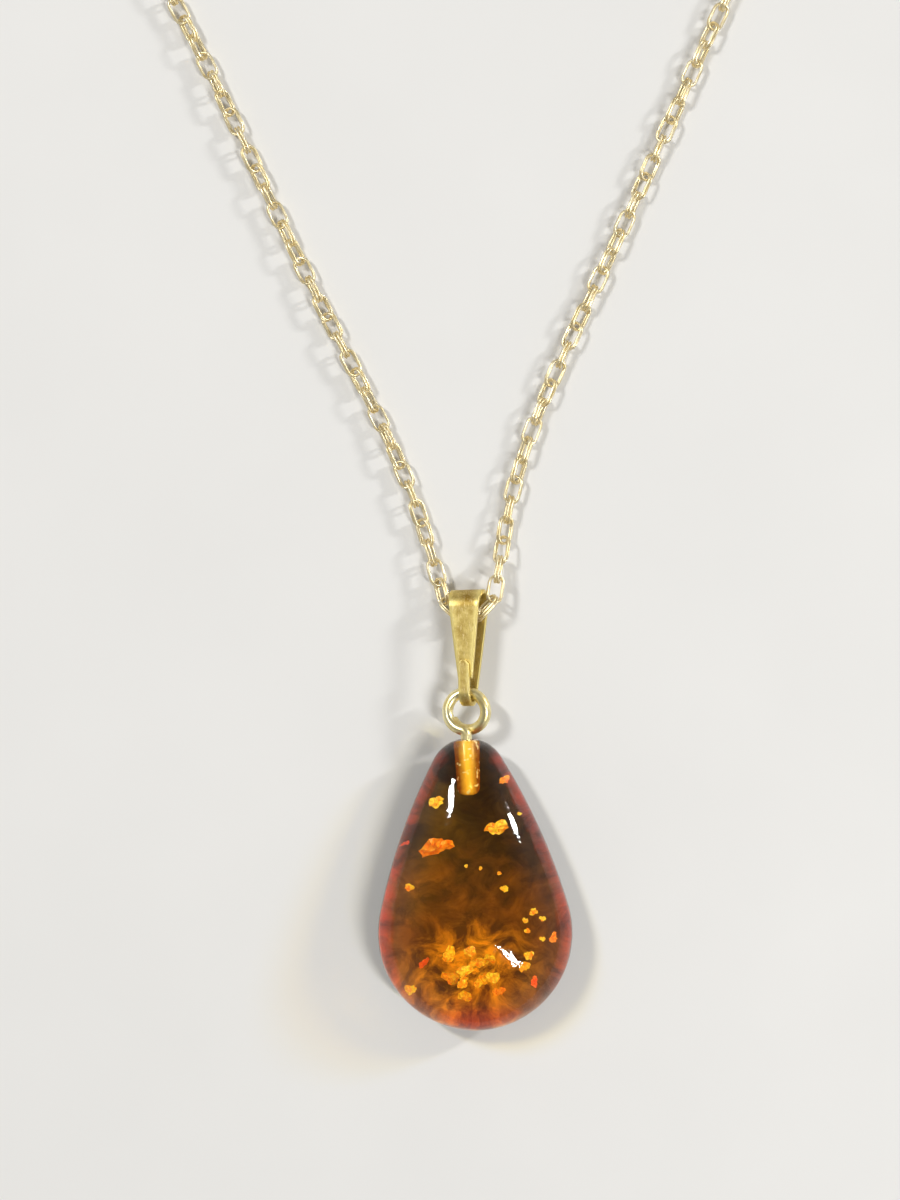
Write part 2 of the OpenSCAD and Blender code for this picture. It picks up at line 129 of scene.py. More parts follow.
# Matt laminate: an even warm white with a faint mottle about 20 mm wide.
laminate, tree, shader, place = new_material("matt_laminate", {"Roughness": 0.6})
mottle = add(tree, "ShaderNodeTexNoise", {"Scale": 1 / (20 * mm), "Detail": 3}, {"Vector": place})
mottle_tone = add(tree, "ShaderNodeMix", {"data_type": "RGBA", 6: linear("dfdedb"), 7: linear("e6e5e2")},
                  {0: mottle})
connect(shader, {"Base Color": mottle_tone})
table_mesh.materials.append(laminate)

# The walls' light passes into the ceiling's between two heights, given as sines of angles above the level
wall_light, ceiling_light = 0.5, 0.12
wall_top, ceiling_edge = 0.3, 0.8
room = bpy.data.worlds.new("room")
scene.world = room
room.use_nodes = True
tree = room.node_tree
sky = add(tree, "ShaderNodeTexCoord", output="Generated")
height = add(tree, "ShaderNodeSeparateXYZ", {}, {0: sky}, output="Z")
light_range = {"From Min": wall_top, "From Max": ceiling_edge, "To Min": wall_light, "To Max": ceiling_light}
strength = add(tree, "ShaderNodeMapRange", light_range, {"Value": height})
background = tree.nodes["Background"]
background.inputs["Color"].default_value = linear("f8f5f0")
connect(background, {"Strength": strength})
scene.view_settings.view_transform = "Standard"

# Spot and size in metres, and power in watts
soft_boxes = (
    ("soft_box_left", (-0.28, 0.25, 0.48), (0.05, 0.12), 1.5),
    ("soft_box_right", (0.54, 0.24, 0.30), (0.04, 0.10), 1.5),
    ("soft_box_near", (0.22, -0.15, 0.46), (0.018, 0.22), 1.2),
)
for name, spot, size, power in soft_boxes:
    light = bpy.data.lights.new(name, "AREA")
    light.shape = "ELLIPSE"
    light.size, light.size_y = size
    light.energy = power
    lamp = put(name, light)
    lamp.location = spot
    lamp.rotation_euler = (-Vector(spot)).to_track_quat("-Z", "Y").to_euler()

# Amber drop: a pear-shaped cabochon of cognac amber, domed in front and ground flat at the back.
# It was shaped and polished by hand, and a hole for the eye peg was drilled into its tip.
drop_length = 24.0
drop_width = 16.0
dome_height = 4.6
ground_off = 0.6
back_bulge = girdle_height + ground_off
tip_radius = 3.2
flank_radius = 50.0
thinning = 0.65
bore_radius = 0.8
bore_depth = 4.9
mouth_round = 0.06
mouth_land = 0.18
mouth_lift = 0.036
mouth_depth = 0.3
flat_round = 0.12
drop_sides = 112
drop_rows = 100

bottom_radius = drop_width / 2
bottom_y = bottom_radius - drop_length / 2
tip_y = drop_length / 2 - tip_radius
flank_to_bottom = flank_radius - bottom_radius
flank_to_tip = flank_radius - tip_radius
flank_y = ((tip_y ** 2 - bottom_y ** 2 - flank_to_tip ** 2 + flank_to_bottom ** 2)
           / (2 * (tip_y - bottom_y)))
flank_x = math.sqrt(flank_to_bottom ** 2 - (bottom_y - flank_y) ** 2)
flank_start = bottom_y + bottom_radius * (bottom_y - flank_y) / flank_to_bottom
flank_end = tip_y + tip_radius * (tip_y - flank_y) / flank_to_tip


def half_width(y):
    """Half width of the drop seen from above: a bottom circle, two long flanks and a rounded tip."""
    if y > flank_end:
        return math.sqrt(tip_radius ** 2 - (y - tip_y) ** 2)
    if y > flank_start:
        return math.sqrt(flank_radius ** 2 - (y - flank_y) ** 2) - flank_x
    return math.sqrt(bottom_radius ** 2 - (y - bottom_y) ** 2)


def drop_section(y, angles, inset=0.0):
    """Points of the drop's section at y: an oval, higher in front than behind, flat where it was ground."""
    w = half_width(y)
    thin = (w / bottom_radius) ** thinning
    height = np.where(np.sin(angles) > 0, dome_height, back_bulge) * thin - inset
    z = girdle_height + height * np.sin(angles) - inset
    z = (z + np.sqrt(z ** 2 + flat_round ** 2)) / 2 + inset
    x = w * (1 - inset / bottom_radius) * np.cos(angles)
    inset_y = y + inset * max(0, bottom_y - y) / bottom_radius
    return np.column_stack([x, np.full(len(angles), inset_y), z])


def full_turn(count):
    """Angles of a full turn in equal steps."""
    return np.linspace(0, 2 * math.pi, count, endpoint=False)


def ring_about(middle, radius, u, v, count):
    """Ring of points around a middle, in the plane of two directions at right angles."""
    angles = full_turn(count)[:, None]
    return np.asarray(middle) + radius * (np.cos(angles) * np.asarray(u) + np.sin(angles) * np.asarray(v))


def bore_ring(radius, y):
    """Ring around the drilled hole at y."""
    return ring_about((0, y, girdle_height), radius, (1, 0, 0), (0, 0, 1), drop_sides)


def face_outward(mesh, same_point=0.0):
    """Turns the faces of a mesh outwards, after merging points nearer to each other than same_point."""
    shape = bmesh.new()
    shape.from_mesh(mesh)
    if same_point:
        bmesh.ops.remove_doubles(shape, verts=shape.verts, dist=same_point)
    bmesh.ops.recalc_face_normals(shape, faces=shape.faces)
    shape.to_mesh(mesh)
    shape.free()


def skin(name, rings, closed=False):
    """Smooth piece over a row of rings of points in millimetres, capped at both ends unless it is closed."""
    rows, count = len(rings), len(rings[0])
    faces = [(i * count + j, i * count + (j + 1) % count,
              (i + 1) % rows * count + (j + 1) % count, (i + 1) % rows * count + j)
             for i in range(rows if closed else rows - 1) for j in range(count)]
    if not closed:
        faces += [tuple(range(count)), tuple(range((rows - 1) * count, rows * count))]
    mesh = bpy.data.meshes.new(name)
    mesh.from_pydata((np.concatenate(rings) * mm).tolist(), [], faces)
    face_outward(mesh)
    mesh.shade_smooth()
    return put(name, mesh)


mouth_y = tip_y + math.sqrt(tip_radius ** 2 - (bore_radius + mouth_land) ** 2)
drop_places = [-drop_length / 2 * math.cos(math.pi * i / drop_rows) for i in range(1, drop_rows)]
drop_rings = [drop_section(y, full_turn(drop_sides)) for y in drop_places if y < mouth_y]
mouth_rings = [bore_ring(bore_radius + mouth_round, mouth_y + mouth_lift),
               bore_ring(bore_radius, mouth_y),
               bore_ring(bore_radius, mouth_y - mouth_depth)]
drop = skin("amber_drop_polished", drop_rings + mouth_rings)

# Polished cognac amber: clear fossil resin that swallows blue first and then green, so it turns from gold
# to deep orange with depth. Polishing by hand left hairline marks and shallow waves about 1 mm wide.
amber_index = 1.54
amber, tree, shader, place = new_material("polished_cognac_amber",
                                          {"Transmission Weight": 1, "IOR": amber_index})
layers = add(tree, "ShaderNodeTexNoise", {"Scale": 1 / (5 * mm), "Detail": 4, "Distortion": 1.2},
             {"Vector": place})
layer_tone = add(tree, "ShaderNodeMix", {"data_type": "RGBA", 6: linear("ffe9c8"), 7: linear("fff8ec")},
                 {0: layers})
stretch = add(tree, "ShaderNodeMapping", {"Scale": (6, 0.5, 1)}, {"Vector": place})
marks = add(tree, "ShaderNodeTexNoise", {"Scale": 1 / (1.2 * mm), "Detail": 5}, {"Vector": stretch})
polish = add(tree, "ShaderNodeMapRange",
             {"From Min": 0.35, "From Max": 0.75, "To Min": 0.015, "To Max": 0.07}, {"Value": marks})
hand_waves = add(tree, "ShaderNodeTexNoise", {"Scale": 1 / (0.9 * mm), "Detail": 2}, {"Vector": place})
waves = add(tree, "ShaderNodeBump", {"Strength": 0.2, "Distance": 0.1 * mm}, {"Height": hand_waves})
relief = add(tree, "ShaderNodeBump", {"Strength": 0.06, "Distance": 0.05 * mm},
             {"Height": marks, "Normal": waves})
connect(shader, {"Base Color": layer_tone, "Roughness": polish, "Normal": relief})
# Shares of red, green and blue that the resin lets pass
passing = (0.908, 0.747, 0.005, 1)
depth = add(tree, "ShaderNodeVolumeAbsorption", {"Color": passing, "Density": 330})
# Light of the soft boxes goes straight in, so that what lies inside is lit
lamp_ray = add(tree, "ShaderNodeLightPath", output="Is Shadow Ray")
clear = add(tree, "ShaderNodeBsdfTransparent")
lit_inside = add(tree, "ShaderNodeMixShader", {}, {0: lamp_ray, 1: shader.outputs[0], 2: clear})
connect(tree.nodes["Material Output"], {"Surface": lit_inside, "Volume": depth})
drop.data.materials.append(amber)
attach(drop, "pendant")
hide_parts("amber_drop")

# Back layer: cloudy resin in a sheet just under the surface of the back, with the drop's light and shade
# painted on it:
# painted shade in olive above, painted light in honey below and a painted red glow along the rim.
layer_skin = 0.12
layer_wall = 0.25
layer_lip = math.radians(6)
layer_end = 0.4
layer_sides = 60
rim_widening = 0.8
layer_arc = np.linspace(math.pi - layer_lip, 2 * math.pi + layer_lip, layer_sides)
layer_places = [y for y in drop_places if y < mouth_y - layer_end]
layer_rings, layer_rim, layer_run, layer_face = [], [], [], []
for y in layer_places:
    outer = drop_section(y, layer_arc, layer_skin)
    inner = drop_section(y, layer_arc[::-1], layer_skin + layer_wall)
    layer_rings.append(np.concatenate([outer, inner]))
    # Shares of the half width count inwards. They shrink in the narrow upper end, so the painted red rim is
    # wider there.
    share = 1 - np.abs(layer_rings[-1][:, 0]) / half_width(y)
    share = share * (half_width(y) / bottom_radius) ** rim_widening
    from_bottom = (y + drop_length / 2) / bottom_radius
    layer_rim += list(np.minimum(share, from_bottom))
    layer_run += [0.5 - y / drop_length] * (2 * layer_sides)
    layer_face += [1] * layer_sides + [0] * layer_sides
back_layer = skin("amber_back_painted_layer", layer_rings)
layer_maps = {"from_rim": layer_rim, "from_tip": layer_run, "outside": layer_face}
for name, values in layer_maps.items():
    back_layer.data.attributes.new(name, "FLOAT", "POINT").data.foreach_set("value", values)

# Cloudy amber with painted light: resin full of tiny bubbles, in wisps about 4 mm long and clouds about 2 mm
# wide.
# Painted shade makes it olive brown, painted light makes it honey at the lower end and deep red along the
# rim, and a painted gold glow lies low down behind the nest of fine cracks. The outer face, seen from behind,
# is plain brown.
cloudy, tree, shader, place = new_material("cloudy_amber_painted_light", {"Roughness": 0.5, "IOR": amber_index})
from_rim, from_tip, outside = (add(tree, "ShaderNodeAttribute", {"attribute_name": name}, output="Fac")
                               for name in layer_maps)
wisps = add(tree, "ShaderNodeTexNoise", {"Scale": 1 / (4 * mm), "Detail": 5, "Distortion": 1.5},
            {"Vector": place})
drift = add(tree, "ShaderNodeMath", {"operation": "MULTIPLY_ADD", 1: 0.7}, {0: wisps, 2: from_tip})
# Painted shade and light: dark olive towards the tip, brown in the middle and honey towards the lower end
upper = add(tree, "ShaderNodeMapRange", {"From Min": 0.72, "From Max": 0.98}, {"Value": drift})
lower = add(tree, "ShaderNodeMapRange", {"From Min": 1.1, "From Max": 1.34}, {"Value": drift})
upper_painted_shade = add(tree, "ShaderNodeMix", {"data_type": "RGBA", 6: linear("352d1a"), 7: linear("6e5430")},
                 {0: upper})
lower_painted_light = add(tree, "ShaderNodeMix", {"data_type": "RGBA", 7: linear("a4652c")}, {0: lower, 6: upper_painted_shade})
# Painted red glow along the rim, more orange lower down
rim_wave = add(tree, "ShaderNodeMath", {"operation": "MULTIPLY_ADD", 1: 0.12}, {0: wisps, 2: from_rim})
rim_share = add(tree, "ShaderNodeMapRange", {"From Min": 0.39, "From Max": 0.26}, {"Value": rim_wave})
painted_rim_glow = add(tree, "ShaderNodeMix", {"data_type": "RGBA", 6: linear("cc3a08"), 7: linear("d86010")},
               {0: lower})
body_tone = add(tree, "ShaderNodeMix", {"data_type": "RGBA"}, {0: rim_share, 6: lower_painted_light, 7: painted_rim_glow})
clouds = add(tree, "ShaderNodeTexNoise",
             {"Scale": 1 / (1.8 * mm), "Detail": 6, "Roughness": 0.65, "Distortion": 1}, {"Vector": place})
# Painted gold glow, low in the drop behind the nest of cracks and broken up by the clouds
glow_middle = (-0.3 * mm, -6.6 * mm, 1.5 * mm)
glow_size = (5 * mm, 4 * mm, 4 * mm)
glow_place = add(tree, "ShaderNodeMapping",
                 {"vector_type": "TEXTURE", "Location": glow_middle, "Scale": glow_size}, {"Vector": place})
glow = add(tree, "ShaderNodeTexGradient", {"gradient_type": "SPHERICAL"}, {"Vector": glow_place},
           output="Fac")
glow_wisps = add(tree, "ShaderNodeMapRange",
                 {"From Min": 0.4, "From Max": 0.6, "To Min": 0.1, "To Max": 1.2}, {"Value": clouds})
glow_share = add(tree, "ShaderNodeMath", {"operation": "MULTIPLY", "use_clamp": True},
                 {0: glow, 1: glow_wisps})
glow_tone = add(tree, "ShaderNodeMix", {"data_type": "RGBA", 7: linear("f8d858")},
                {0: glow_share, 6: body_tone})
skin_tone = add(tree, "ShaderNodeMix", {"data_type": "RGBA", 6: linear("4a3418"), 7: linear("8c4412")},
                {0: lower})
cloudy_tone = add(tree, "ShaderNodeMix", {"data_type": "RGBA"}, {0: outside, 6: glow_tone, 7: skin_tone})
cloud_light = add(tree, "ShaderNodeMapRange",
                  {"From Min": 0.38, "From Max": 0.62, "To Min": 0.4, "To Max": 1.6}, {"Value": clouds})
clouded_tone = add(tree, "ShaderNodeHueSaturation", {}, {"Value": cloud_light, "Color": cloudy_tone})
connect(shader, {"Base Color": clouded_tone})
back_layer.data.materials.append(cloudy)
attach(back_layer, "pendant")

# Sun spangles: round stress cracks inside the amber, each a thin crumpled disc that glitters like gold leaf.
# They formed when the resin was warmed, most of them in the broad lower end of the drop.

# Each spangle's place as shares of the half width, the half length and the dome, its radius as a share of
# the largest one, its lean from level and its turn seen from above, both in degrees
spangles = (
    (-0.32, 0.57, 0.3, 0.5, 20, 20), (-0.33, 0.26, 0.25, 1, 50, 16), (-0.6, 0.28, 0, 0.42, 60, 15),
    (0.25, 0.38, 0.41, 0.72, 40, 10), (0.33, 0.69, 0.1, 0.4, 50, 40), (0.47, 0.46, 0.22, 0.16, 30, 30),
    (-0.59, -0.01, 0.13, 0.31, 30, -20), (0.3, -0.03, 0.52, 0.26, 20, 10),
    (-0.06, 0.14, 0.65, 0.13, 20, 0), (0.08, 0.12, 0.65, 0.13, 20, 40),
    (0.26, 0.08, 0.61, 0.15, 20, -30), (-0.26, -0.45, 0.43, 0.55, 40, 75),
    (-0.06, -0.43, 0.66, 0.42, 30, -25), (0.01, -0.51, 0.42, 0.46, 45, 15),
    (0.12, -0.49, 0.3, 0.42, 40, -20), (-0.12, -0.56, 0.59, 0.52, 35, 35),
    (-0.25, -0.6, 0.33, 0.55, 45, -20), (-0.14, -0.64, 0.41, 0.42, 40, 50),
    (0.03, -0.63, 0.26, 0.46, 40, 45), (0.15, -0.61, 0.46, 0.46, 30, -45),
    (0.19, -0.7, 0.17, 0.4, 50, 20), (-0.12, -0.72, 0.14, 0.42, 45, -10),
    (0.45, -0.55, 0.3, 0.4, 45, 60), (0.51, -0.48, 0.48, 0.34, 25, 0), (0.49, -0.25, 0.52, 0.2, 20, 0),
    (0.57, -0.2, 0.41, 0.3, 35, 10), (0.65, -0.25, 0.33, 0.22, 25, 0), (0.5, -0.32, 0.43, 0.2, 30, 40),
    (0.73, -0.38, 0.15, 0.34, 50, 70), (0.64, -0.38, 0.33, 0.2, 30, 20),
    (-0.49, -0.5, 0.22, 0.4, 55, 35), (-0.61, -0.66, 0.02, 0.36, 35, -35),
    (0.52, -0.65, 0.11, 0.34, 60, 80),
)
largest_share = 0.18
disc_rounds = (1.0, 0.78, 0.52, 0.26)
disc_crumple = 0.12
disc_half = 0.06
edge_mean = 0.84
edge_lobe = 0.1
edge_ragged = (-0.16, 0.1)
disc_sides = 20
disc_angles = full_turn(disc_sides)
crack_seed = 7
dice = random.Random(crack_seed)
disc_points, disc_faces, disc_slope = [], [], []
for across, along, up, size, lean, turn in spangles:
    start = len(disc_points)
    radius = size * largest_share * bottom_radius
    middle = Vector((across * bottom_radius, along * drop_length / 2, girdle_height + up * dome_height))
    tilt = Matrix.Rotation(math.radians(turn), 3, "Z") @ Matrix.Rotation(math.radians(lean), 3, "X")
    two_lobes, three_lobes = (dice.uniform(0, 2 * math.pi) for _ in range(2))
    reach = []
    for a in disc_angles:
        lobes = math.sin(2 * a + two_lobes) + math.sin(3 * a + three_lobes)
        reach.append(min(1, edge_mean + edge_lobe * lobes + dice.uniform(*edge_ragged)))
    crumples = [[dice.uniform(-disc_crumple, disc_crumple) for _ in disc_angles] for _ in disc_rounds]
    for side in (1, -1):
        for share, crumple in zip(disc_rounds, crumples):
            for a, edge, rise in zip(disc_angles, reach, crumple):
                point = Vector((share * edge * math.cos(a), share * edge * math.sin(a),
                                rise + side * disc_half * (1 - share)))
                disc_points.append((tilt @ (point * radius) + middle) * mm)
        disc_points.append((tilt @ Vector((0, 0, side * disc_half * radius)) + middle) * mm)
    half = disc_sides * len(disc_rounds) + 1
    disc_slope += [lean / 90] * (2 * half)
    for first in (start, start + half):
        centre = first + half - 1
        inmost = centre - disc_sides
        for j in range(disc_sides):
            k = (j + 1) % disc_sides
            for a in range(first, inmost, disc_sides):
                b = a + disc_sides
                disc_faces.append((a + j, a + k, b + k, b + j))
            disc_faces.append((inmost + j, inmost + k, centre))
spangle_mesh = bpy.data.meshes.new("sun_spangles")
spangle_mesh.from_pydata(disc_points, [], disc_faces)
spangle_mesh.attributes.new("slope", "FLOAT", "POINT").data.foreach_set("value", disc_slope)
merge_reach = 0.0005 * mm
face_outward(spangle_mesh, merge_reach)
spangle_piece = put("sun_spangles_crumpled", spangle_mesh)

# Crack glitter: a bright inner face in fans about 0.4 mm wide. A steep crack is seen through more amber,
# so it looks redder than a level one.
glitter, tree, shader, place = new_material("crack_glitter", {})
fans = add(tree, "ShaderNodeTexNoise", {"Scale": 1 / (0.4 * mm), "Detail": 3, "Distortion": 0.6},
           {"Vector": place})
fan_share = add(tree, "ShaderNodeMapRange", {"From Min": 0.35, "From Max": 0.62}, {"Value": fans})
fan_tone = add(tree, "ShaderNodeMix", {"data_type": "RGBA", 6: linear("ffa01e"), 7: linear("ffee58")},
               {0: fan_share})
slope = add(tree, "ShaderNodeAttribute", {"attribute_name": "slope"}, output="Fac")
steep = add(tree, "ShaderNodeMapRange", {"From Min": 0.48, "From Max": 0.62}, {"Value": slope})
crack_tone = add(tree, "ShaderNodeMix", {"data_type": "RGBA", 7: linear("ff6c20")}, {0: steep, 6: fan_tone})
fan_gloss = add(tree, "ShaderNodeMapRange", {"To Min": 0.18, "To Max": 0.5}, {"Value": fans})
connect(shader, {"Base Color": crack_tone, "Roughness": fan_gloss})
spangle_mesh.materials.append(glitter)
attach(spangle_piece, "pendant")
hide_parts("sun_spangles")

# Glue: clear resin glue that fills the drilled hole around the peg, and has yellowed since.
# It was filled in before the peg was pushed home, so it stands a little below the mouth.
peg_radius = 0.45
glue_gap = 0.03
glue_floor = 0.2
glue_rim = bore_radius - glue_gap
glue_foot = drop_length / 2 - bore_depth + glue_gap
glue_head = drop_length / 2 - mouth_depth
peg_hole = peg_radius + glue_gap
# Outline of the plug, as radius and place along the hole: a rounded foot, a worn head and the peg's hole
glue_outline = (
    (0.1, glue_foot), (0.35, glue_foot + 0.03), (0.58, glue_foot + 0.13),
    (glue_rim - 0.05, glue_foot + 0.35), (glue_rim, glue_foot + 0.7),
    (glue_rim, glue_head - 0.1), (glue_rim - 0.1, glue_head), (peg_hole, glue_head - 0.05),
    (peg_hole, glue_foot + glue_floor), (0.1, glue_foot + glue_floor),
)
glue = skin("glue_plug_yellowed", [bore_ring(radius, y) for radius, y in glue_outline])

# Yellowed clear glue: gold with cloudy spots about 0.4 mm wide, a painted reflection of the peg in bright
# gold along its middle, painted shade in brown gold at its sides, and a few painted white glints.
resin, tree, shader, place = new_material("yellowed_clear_glue", {
    "Roughness": 0.2, "IOR": 1.5, "Subsurface Weight": 0.3, "Subsurface Radius": (1.0, 0.5, 0.2),
    "Subsurface Scale": 0.4 * mm})
cloudy_spots = add(tree, "ShaderNodeTexNoise", {"Scale": 1 / (0.4 * mm), "Detail": 3}, {"Vector": place})
# Painted reflection of the peg, brightest along the middle, with painted shade towards the sides
sideways = add(tree, "ShaderNodeSeparateXYZ", {}, {0: place}, output="X")
aside = add(tree, "ShaderNodeMath", {"operation": "ABSOLUTE"}, {0: sideways})
painted_core_light = add(tree, "ShaderNodeMapRange",
           {"From Min": 0.1 * mm, "From Max": 0.6 * mm, "To Min": -0.25, "To Max": 0.7}, {"Value": aside})
resin_share = add(tree, "ShaderNodeMath", {"operation": "MULTIPLY_ADD", 1: 0.5, "use_clamp": True},
                  {0: cloudy_spots, 2: painted_core_light})
resin_and_core_light_tone = add(tree, "ShaderNodeMix", {"data_type": "RGBA", 6: linear("ffd25a"), 7: linear("8a5618")},
                 {0: resin_share})
# Painted white glints in a few small spots
glint_spots = add(tree, "ShaderNodeTexNoise", {"Scale": 1 / (0.45 * mm), "Detail": 1}, {"Vector": place})
glint_share = add(tree, "ShaderNodeMapRange", {"From Min": 0.63, "From Max": 0.72}, {"Value": glint_spots})
glint_tone = add(tree, "ShaderNodeMix", {"data_type": "RGBA", 7: linear("fffbe4")},
                  {0: glint_share, 6: resin_and_core_light_tone})
connect(shader, {"Base Color": glint_tone})
glue.data.materials.append(resin)
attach(glue, "pendant")
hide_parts("glue_plug")

# Eye peg: one piece of round brass wire, a straight peg glued into the hole and a turn of wire above it.
# It was wound over a pin, the cut end lies beside the neck, and handling has rubbed its gilding.
eye_wire = 2 * peg_radius
eye_radius = 1.55
eye_gap = 0.2
eye_lean = math.radians(-15)
tail_angle = 50
tail_gap = 0.1
kink_room = 0.05
eye_sink = eye_wire + tail_gap
eye_turn = math.radians(360 + tail_angle)
kink_radius = peg_radius + kink_room
peg_foot = 0.25
peg_end_round = 0.08
peg_steps, kink_steps, eye_steps = 12, 14, 110
peg_sides = 28
eye_y = drop_length / 2 + eye_gap + eye_radius + peg_radius
kink_y = -math.sqrt(eye_radius ** 2 + 2 * eye_radius * kink_radius)
loop_start = math.radians(270) - math.asin(kink_radius / (eye_radius + kink_radius))


def lean_eye(p):
    """Point of the eye after its lean about the peg."""
    return np.array([p[0] * math.cos(eye_lean) + p[2] * math.sin(eye_lean), p[1] + eye_y,
                     p[2] * math.cos(eye_lean) - p[0] * math.sin(eye_lean) + girdle_height])


def loop_point(a):
    """Point of the eye loop after turning by angle a from the kink."""
    return np.array([eye_radius * math.cos(loop_start - a), eye_radius * math.sin(loop_start - a),
                     -eye_sink * a / (2 * math.pi)])


def wire_rings(path, radius, sides, closed=False, end_round=0.0):
    """Rings of points for round wire along a path, its cut ends broken by a small round."""
    path = np.asarray(path, float)
    before, after = np.roll(path, 1, axis=0), np.roll(path, -1, axis=0)
    if not closed:
        before[0], after[-1] = path[0], path[-1]
    along = after - before
    along /= np.linalg.norm(along, axis=1)[:, None]
    across = np.cross([0, 0, 1], along)
    across /= np.linalg.norm(across, axis=1)[:, None]
    rise = np.cross(along, across)
    rings = [ring_about(p, radius, u, v, sides) for p, u, v in zip(path, across, rise)]
    if end_round:
        cuts = [ring_about(path[i] + step * along[i], radius - end_round, across[i], rise[i], sides)
                for i, step in ((0, -end_round), (-1, end_round))]
        rings = [cuts[0], *rings, cuts[1]]
    return rings


peg_start = drop_length / 2 - bore_depth + peg_foot - eye_y
peg_path = [(0, y, 0) for y in np.linspace(peg_start, kink_y, peg_steps, endpoint=False)]
peg_path += [(kink_radius * (math.cos(a) - 1), kink_y + kink_radius * math.sin(a), 0)
             for a in np.linspace(0, loop_start - math.pi, kink_steps, endpoint=False)]
peg_path += [loop_point(a) for a in np.linspace(0, eye_turn, eye_steps)]
eye_peg = skin("eye_peg_wound", wire_rings([lean_eye(p) for p in peg_path], peg_radius, peg_sides,
                                           end_round=peg_end_round))


def rubbed_gilt(name, spot, grain, rub, tones, gloss):
    """Gilt metal, rubbed in spots of a size in millimetres, from the first tone and gloss to the second.

    Grain is the detail and the roughness of the spots, and rub is where the rubbing starts and ends in them.
    """
    material, tree, shader, place = new_material(name, {"Metallic": 1})
    spots = add(tree, "ShaderNodeTexNoise",
                {"Scale": 1 / (spot * mm), "Detail": grain[0], "Roughness": grain[1]}, {"Vector": place})
    share = add(tree, "ShaderNodeMapRange", {"From Min": rub[0], "From Max": rub[1]}, {"Value": spots})
    tone = add(tree, "ShaderNodeMix", {"data_type": "RGBA", 6: linear(tones[0]), 7: linear(tones[1])},
               {0: share})
    sheen = add(tree, "ShaderNodeMapRange", {"To Min": gloss[0], "To Max": gloss[1]}, {"Value": spots})
    connect(shader, {"Base Color": tone, "Roughness": sheen})
    return material, tree, shader, place


# Rubbed gilt wire: pale gold over brass, in brighter and duller patches about 1 mm wide, with small nicks.
gilt_wire, tree, shader, place = rubbed_gilt(
    "rubbed_gilt_wire", 1.0, (6, 0.65), (0.38, 0.66), ("fff6c4", "e8d084"), (0.2, 0.48))
nicks = add(tree, "ShaderNodeTexNoise", {"Scale": 1 / (0.25 * mm), "Detail": 4}, {"Vector": place})
nick_relief = add(tree, "ShaderNodeBump", {"Strength": 0.25, "Distance": 0.04 * mm}, {"Height": nicks})
connect(shader, {"Normal": nick_relief})
eye_peg.data.materials.append(gilt_wire)
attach(eye_peg, "pendant")
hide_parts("eye_peg")

# Bail: a strap of sheet brass, wide at the fold that carries the chain and narrow where it wraps the eye.
# It was cut flat, bent over two pins, and its narrow tongue was pressed down on the front leaf.
strap_thickness = 0.35
strap_edge = 0.07
fold_pin = 1.05
wrap_pin = 0.78
fold_radius = fold_pin + strap_thickness / 2
wrap_radius = wrap_pin + strap_thickness / 2
bail_length = 7.1
fold_width = 2.8
lap_width = 1.7
tongue_width = 0.95
tongue_length = 2.7
lap_gap = 0.02
lap_room = 0.5
leaf_room = 0.3
taper_past = 1.0
tip_angle = math.radians(80)
lap_start = tongue_length + lap_room
leaf_start = wrap_pin + leaf_room
lap_angle = math.asin((strap_thickness + lap_gap + fold_radius - wrap_radius) / bail_length)
back_angle = math.asin((fold_radius - wrap_radius) / bail_length)
bail_lean = math.radians(-19)
bail_turn = math.radians(-3)
hang_angle = math.radians(83)
table_gap = 0.03
leaf_steps, fold_steps, wrap_steps, tongue_steps, tip_steps = 26, 36, 30, 14, 9
hinge = lean_eye(loop_point(loop_start - hang_angle))
fold_height = (table_gap + (fold_radius + strap_thickness / 2) * math.cos(bail_lean)
               + fold_width / 2 * math.sin(abs(bail_lean)))
bail_pitch = -math.asin((hinge[2] - fold_height) / bail_length)
bail_frame = np.array((Matrix.Rotation(bail_turn, 3, "Z") @ Matrix.Rotation(bail_pitch, 3, "X")
                       @ Matrix.Rotation(bail_lean, 3, "Y")))


def strap_half(v):
    """Half width of the strap at distance v above the wrap. Its taper was marked out to past the fold."""
    top = bail_length + fold_radius + strap_thickness / 2 + taper_past
    top_half = fold_width / 2 + taper_past * (fold_width - lap_width) / 2 / (bail_length - lap_start)
    half = np.interp(v, [0, lap_start, top], [tongue_width / 2, lap_width / 2, top_half])
    return min(half, fold_width / 2)


# Middle line of the strap, as distance along the bail, height, direction angle and half width
strap_line = []
leaf_top = bail_length - fold_radius * math.sin(lap_angle)
leaf_height = fold_radius * math.cos(lap_angle)
for v in np.linspace(leaf_start, leaf_top, leaf_steps, endpoint=False):
    strap_line.append((v, leaf_height - (leaf_top - v) * math.tan(lap_angle), lap_angle, strap_half(v)))
for a in np.linspace(math.pi / 2 + lap_angle, -math.pi / 2 - back_angle, fold_steps):
    v = bail_length + fold_radius * math.cos(a)
    strap_line.append((v, fold_radius * math.sin(a), a - math.pi / 2, strap_half(v)))
back_top = bail_length - fold_radius * math.sin(back_angle)
back_foot = -wrap_radius * math.sin(back_angle)
for share in np.linspace(0, 1, leaf_steps)[1:-1]:
    v = back_top + (back_foot - back_top) * share
    n = -(fold_radius + (wrap_radius - fold_radius) * share) * math.cos(back_angle)
    strap_line.append((v, n, -math.pi - back_angle, strap_half(v)))
for a in np.linspace(math.radians(270) - back_angle, math.pi / 2 + lap_angle, wrap_steps):
    v = wrap_radius * math.cos(a)
    strap_line.append((v, wrap_radius * math.sin(a), a - math.pi / 2 - 2 * math.pi, strap_half(v)))
tongue_half = tongue_width / 2
tongue_straight = tongue_length - tongue_half
tongue_run = list(np.linspace(0, tongue_straight, tongue_steps)[1:])
